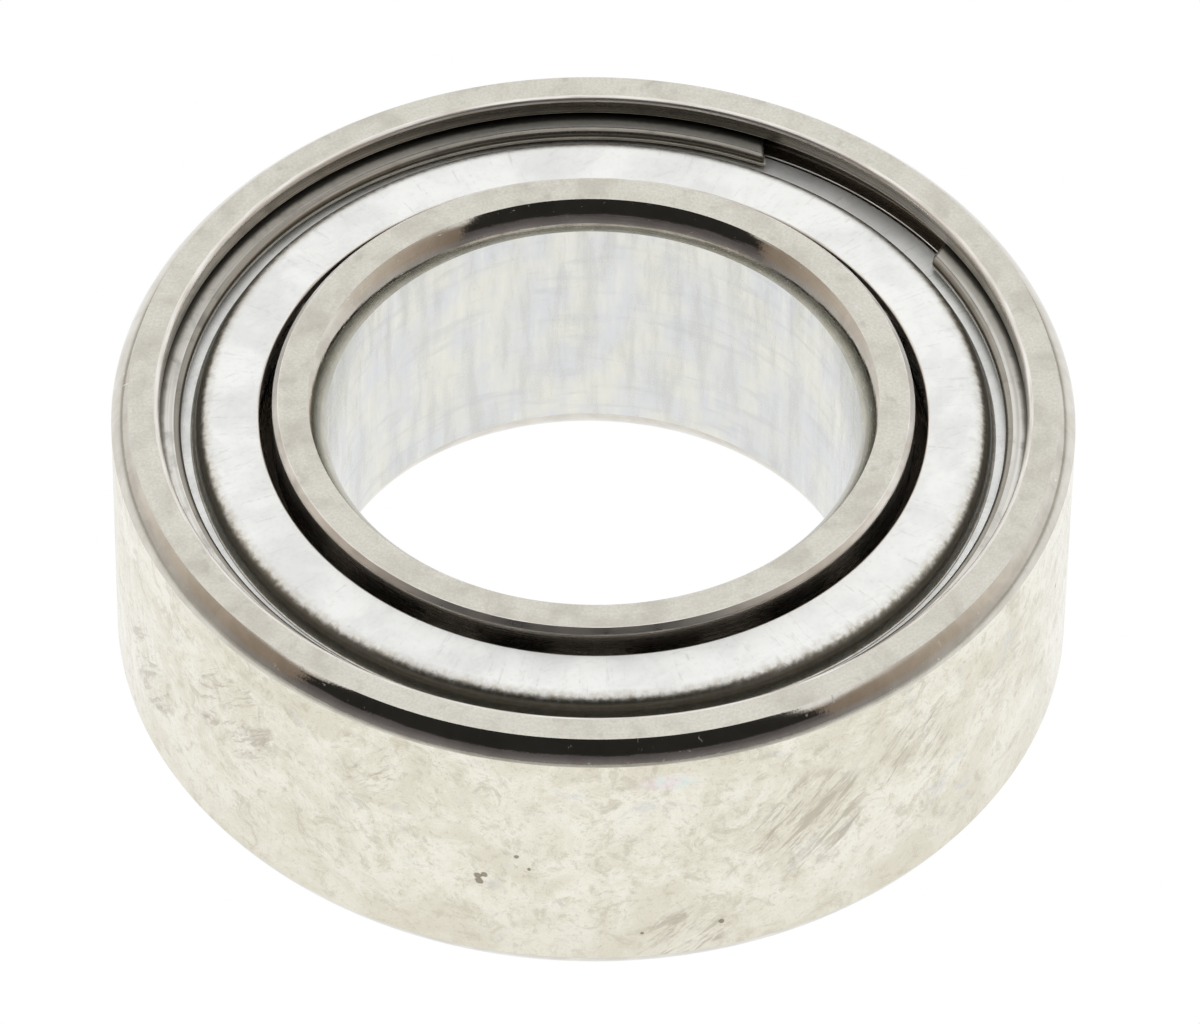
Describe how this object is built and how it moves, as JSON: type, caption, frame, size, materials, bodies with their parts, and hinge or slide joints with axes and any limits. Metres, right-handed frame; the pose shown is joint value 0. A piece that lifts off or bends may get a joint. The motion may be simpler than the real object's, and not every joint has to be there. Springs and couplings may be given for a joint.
{
  "type": "deep groove ball bearing",
  "caption": "Miniature shielded ball bearing: outer and inner rings with balls in a pressed cage, and a sheet shield held by a snap ring on each side.",
  "frame": {"origin": "on the bearing axis, halfway across the width", "axes": "+Z along the bearing axis, towards the side face that is seen from above; the gap of the upper snap ring lies between +X and +Y"},
  "size_m": [0.009, 0.009, 0.003],
  "materials": {
    "ring_steel": "fine ground bearing steel, satin side faces and bright cylindrical seats",
    "shield_steel": "satin pressed sheet with a matt etched shoulder",
    "snap_ring_steel": "grey spring steel",
    "ball_steel": "polished",
    "cage_steel": "pressed strip",
    "rivet_steel": "plain wire"
  },
  "bodies": {
    "outer": {"outer_ring": "ring_steel", "upper_shield": "shield_steel", "lower_shield": "shield_steel", "upper_snap_ring": "snap_ring_steel", "lower_snap_ring": "snap_ring_steel"},
    "inner": {"inner_ring": "ring_steel"},
    "cage": {"upper_cage_half": "cage_steel", "lower_cage_half": "cage_steel", "cage_rivets": "rivet_steel"},
    "rolling_ball_01": {"ball_01": "ball_steel"},
    "rolling_ball_02": {"ball_02": "ball_steel"},
    "rolling_ball_03": {"ball_03": "ball_steel"},
    "rolling_ball_04": {"ball_04": "ball_steel"},
    "rolling_ball_05": {"ball_05": "ball_steel"},
    "rolling_ball_06": {"ball_06": "ball_steel"},
    "rolling_ball_07": {"ball_07": "ball_steel"},
    "rolling_ball_08": {"ball_08": "ball_steel"},
    "rolling_ball_09": {"ball_09": "ball_steel"},
    "rolling_ball_10": {"ball_10": "ball_steel"},
    "rolling_ball_11": {"ball_11": "ball_steel"}
  },
  "joints": [
    {"name": "inner_ring_spin", "type": "hinge", "parent": "outer", "child": "inner", "pos_m": [0, 0, 0], "axis": [0, 0, 1], "continuous": true},
    {"name": "cage_spin", "type": "hinge", "parent": "outer", "child": "cage", "pos_m": [0, 0, 0], "axis": [0, 0, 1], "continuous": true},
    {"name": "ball_01_spin", "type": "hinge", "parent": "cage", "child": "rolling_ball_01", "pos_m": [0, 0.0035, 0], "axis": [0, 0, 1], "continuous": true},
    {"name": "ball_02_spin", "type": "hinge", "parent": "cage", "child": "rolling_ball_02", "pos_m": [-0.00189, 0.00294, 0], "axis": [0, 0, 1], "continuous": true},
    {"name": "ball_03_spin", "type": "hinge", "parent": "cage", "child": "rolling_ball_03", "pos_m": [-0.00318, 0.00145, 0], "axis": [0, 0, 1], "continuous": true},
    {"name": "ball_04_spin", "type": "hinge", "parent": "cage", "child": "rolling_ball_04", "pos_m": [-0.00346, -0.0005, 0], "axis": [0, 0, 1], "continuous": true},
    {"name": "ball_05_spin", "type": "hinge", "parent": "cage", "child": "rolling_ball_05", "pos_m": [-0.00265, -0.00229, 0], "axis": [0, 0, 1], "continuous": true},
    {"name": "ball_06_spin", "type": "hinge", "parent": "cage", "child": "rolling_ball_06", "pos_m": [-0.00099, -0.00336, 0], "axis": [0, 0, 1], "continuous": true},
    {"name": "ball_07_spin", "type": "hinge", "parent": "cage", "child": "rolling_ball_07", "pos_m": [0.00099, -0.00336, 0], "axis": [0, 0, 1], "continuous": true},
    {"name": "ball_08_spin", "type": "hinge", "parent": "cage", "child": "rolling_ball_08", "pos_m": [0.00265, -0.00229, 0], "axis": [0, 0, 1], "continuous": true},
    {"name": "ball_09_spin", "type": "hinge", "parent": "cage", "child": "rolling_ball_09", "pos_m": [0.00346, -0.0005, 0], "axis": [0, 0, 1], "continuous": true},
    {"name": "ball_10_spin", "type": "hinge", "parent": "cage", "child": "rolling_ball_10", "pos_m": [0.00318, 0.00145, 0], "axis": [0, 0, 1], "continuous": true},
    {"name": "ball_11_spin", "type": "hinge", "parent": "cage", "child": "rolling_ball_11", "pos_m": [0.00189, 0.00294, 0], "axis": [0, 0, 1], "continuous": true}
  ],
  "couplings": [
    {"joint": "cage_spin", "follows": "inner_ring_spin", "ratio": 0.42857},
    {"joint": "ball_01_spin", "follows": "inner_ring_spin", "ratio": -3.4286},
    {"joint": "ball_02_spin", "follows": "inner_ring_spin", "ratio": -3.4286},
    {"joint": "ball_03_spin", "follows": "inner_ring_spin", "ratio": -3.4286},
    {"joint": "ball_04_spin", "follows": "inner_ring_spin", "ratio": -3.4286},
    {"joint": "ball_05_spin", "follows": "inner_ring_spin", "ratio": -3.4286},
    {"joint": "ball_06_spin", "follows": "inner_ring_spin", "ratio": -3.4286},
    {"joint": "ball_07_spin", "follows": "inner_ring_spin", "ratio": -3.4286},
    {"joint": "ball_08_spin", "follows": "inner_ring_spin", "ratio": -3.4286},
    {"joint": "ball_09_spin", "follows": "inner_ring_spin", "ratio": -3.4286},
    {"joint": "ball_10_spin", "follows": "inner_ring_spin", "ratio": -3.4286},
    {"joint": "ball_11_spin", "follows": "inner_ring_spin", "ratio": -3.4286}
  ]
}
